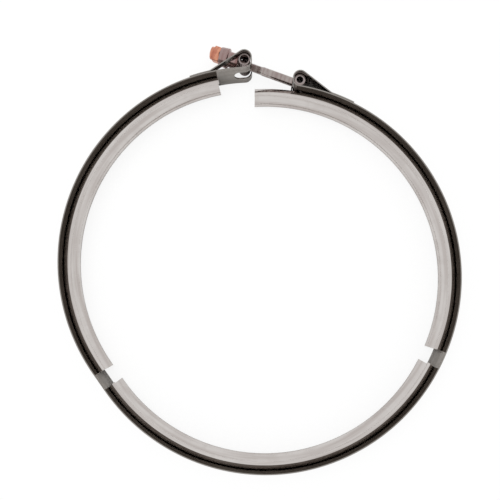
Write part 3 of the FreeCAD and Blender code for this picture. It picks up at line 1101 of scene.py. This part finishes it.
sleeve_bore = shank_radius + sleeve_bore_clearance
collar = lathe("bolt_sleeve", filleted([
    (sleeve_face, sleeve_bore, 0.25 * mm), (head_end, sleeve_bore, 0.25 * mm),
    (head_end, sleeve_head_radius_at_nut, 0.6 * mm), (neck_end, sleeve_head_radius_at_neck, 0.7 * mm),
    (neck_end, sleeve_radius, 0.4 * mm), (sleeve_face, sleeve_radius, 0.4 * mm)], 5), 112)
place(unwrap_round(face_out(collar)), bolt_place, 50)
dress(collar, sleeve_steel, "sleeve_body", "sleeve")


def lock_nut(name):
    """A six-sided nut, chamfered at both ends, with a round locking crown."""
    face, back, top, flat = nut_face, nut_back, nut_top, nut_half_flats
    slope = math.tan(math.radians(nut_chamfer_angle))
    bore = thread_radius + thread_clearance
    steps = 180
    points = []
    for i in range(steps):
        a = 2 * math.pi * i / steps
        local = (math.degrees(a) - nut_clocking + 30) % 60 - 30
        local = 30 - abs(local)
        corner = flat / math.cos(math.radians(30)) - nut_corner_trim
        hexagon = min(flat / math.cos(math.radians(local)), corner)
        chamfer = max(hexagon - flat + nut_corner_trim, 0) * slope
        ring = [
            (face + 0.35 * mm, bore), (face, bore + 0.35 * mm), (face, flat - nut_corner_trim),
            (face + chamfer, hexagon), (face + chamfer + 0.02 * mm, hexagon),
            (back - chamfer - 0.02 * mm, hexagon), (back - chamfer, hexagon), (back, flat - 0.2 * mm),
            (back, nut_crown_radius), (back + 0.3 * mm, nut_crown_radius - 0.06 * mm),
            *((top - down, radius) for down, radius in nut_crown_steps),
            (top, bore + 0.5 * mm), (top - 0.15 * mm, bore + 0.15 * mm), (top - 0.5 * mm, bore),
        ]
        points += [round_point(x, r, a) for x, r in ring]
    return unwrap_round(face_out(new_piece(name, points, (), turned_faces(steps, len(ring)))))


nut = place(lock_nut("copper_lock_nut"), bolt_place, 24)
dress(nut, nut_copper, "nut_body", "lock_nut")


# ---------------------------------------------------------------- studio

floor_half_side = 4.0
floor_gap = 0.05 * mm
floor_white = 0.94
floor_dimming = 0.80
floor_glow = 0.85


def floor_finish():
    """A plain pale floor, white to the camera, that keeps the object's soft shadow.

    To the camera it is a dim matt white under an even glow, and to every other ray a plain matt white.
    """
    made = bpy.data.materials.new("studio_floor")
    made.use_nodes = True
    tree = made.node_tree
    tree.nodes.clear()
    rays = node(tree, "ShaderNodeLightPath")
    seen = rays.outputs["Is Camera Ray"]
    shade = maths(tree, "MULTIPLY_ADD", seen, -floor_dimming, floor_white)
    glow = maths(tree, "MULTIPLY", seen, floor_glow)
    matt = node(tree, "ShaderNodeBsdfDiffuse", {"Color": shade})
    lift = node(tree, "ShaderNodeEmission", {"Color": (1, 1, 1, 1), "Strength": glow})
    both = node(tree, "ShaderNodeAddShader", {0: matt.outputs[0], 1: lift.outputs[0]})
    end = node(tree, "ShaderNodeOutputMaterial")
    tree.links.new(both.outputs[0], end.inputs["Surface"])
    return made


reach = floor_half_side
floor = new_piece("floor", [(x, y, cad_low.z) for x, y in (
    (-reach, -reach), (reach, -reach), (reach, reach), (-reach, reach))], (), [(0, 1, 2, 3)])
floor.data.materials.append(floor_finish())
floor.location.z = -floor_gap


def studio_world():
    """Even white light from all round, the same to every ray."""
    world = bpy.data.worlds.new("studio")
    bpy.context.scene.world = world
    world.use_nodes = True
    tree = world.node_tree
    tree.nodes.clear()
    light = node(tree, "ShaderNodeBackground", {"Color": (1, 1, 1, 1), "Strength": 1.0})
    end = node(tree, "ShaderNodeOutputWorld")
    tree.links.new(light.outputs[0], end.inputs["Surface"])


studio_world()


def soft_lamp(name, place_at, aim, size, watts):
    data = bpy.data.lights.new(name, "AREA")
    data.shape = "DISK"
    data.size = size
    data.energy = watts
    lamp = bpy.data.objects.new(name, data)
    lamp.location = place_at
    lamp.rotation_euler = (Vector(aim) - Vector(place_at)).to_track_quat("-Z", "Y").to_euler()
    lamp.visible_glossy = False
    bpy.context.scene.collection.objects.link(lamp)


soft_lamp("key_lamp", (-0.5, 0.4, 1.3), (0, 0, 0), 0.9, 5.0)

camera_data = bpy.data.cameras.new("camera")
camera_data.sensor_width = 36
camera_data.lens = 28.16
camera_data.shift_x = -0.01
camera_data.shift_y = 0.102
camera_data.clip_start = 0.01
camera = bpy.data.objects.new("camera", camera_data)
camera.location = (-0.0085, -0.0173, 0.3311)
bpy.context.scene.collection.objects.link(camera)
bpy.context.scene.camera = camera
bpy.context.scene.view_settings.view_transform = "Standard"

bpy.context.view_layer.update()
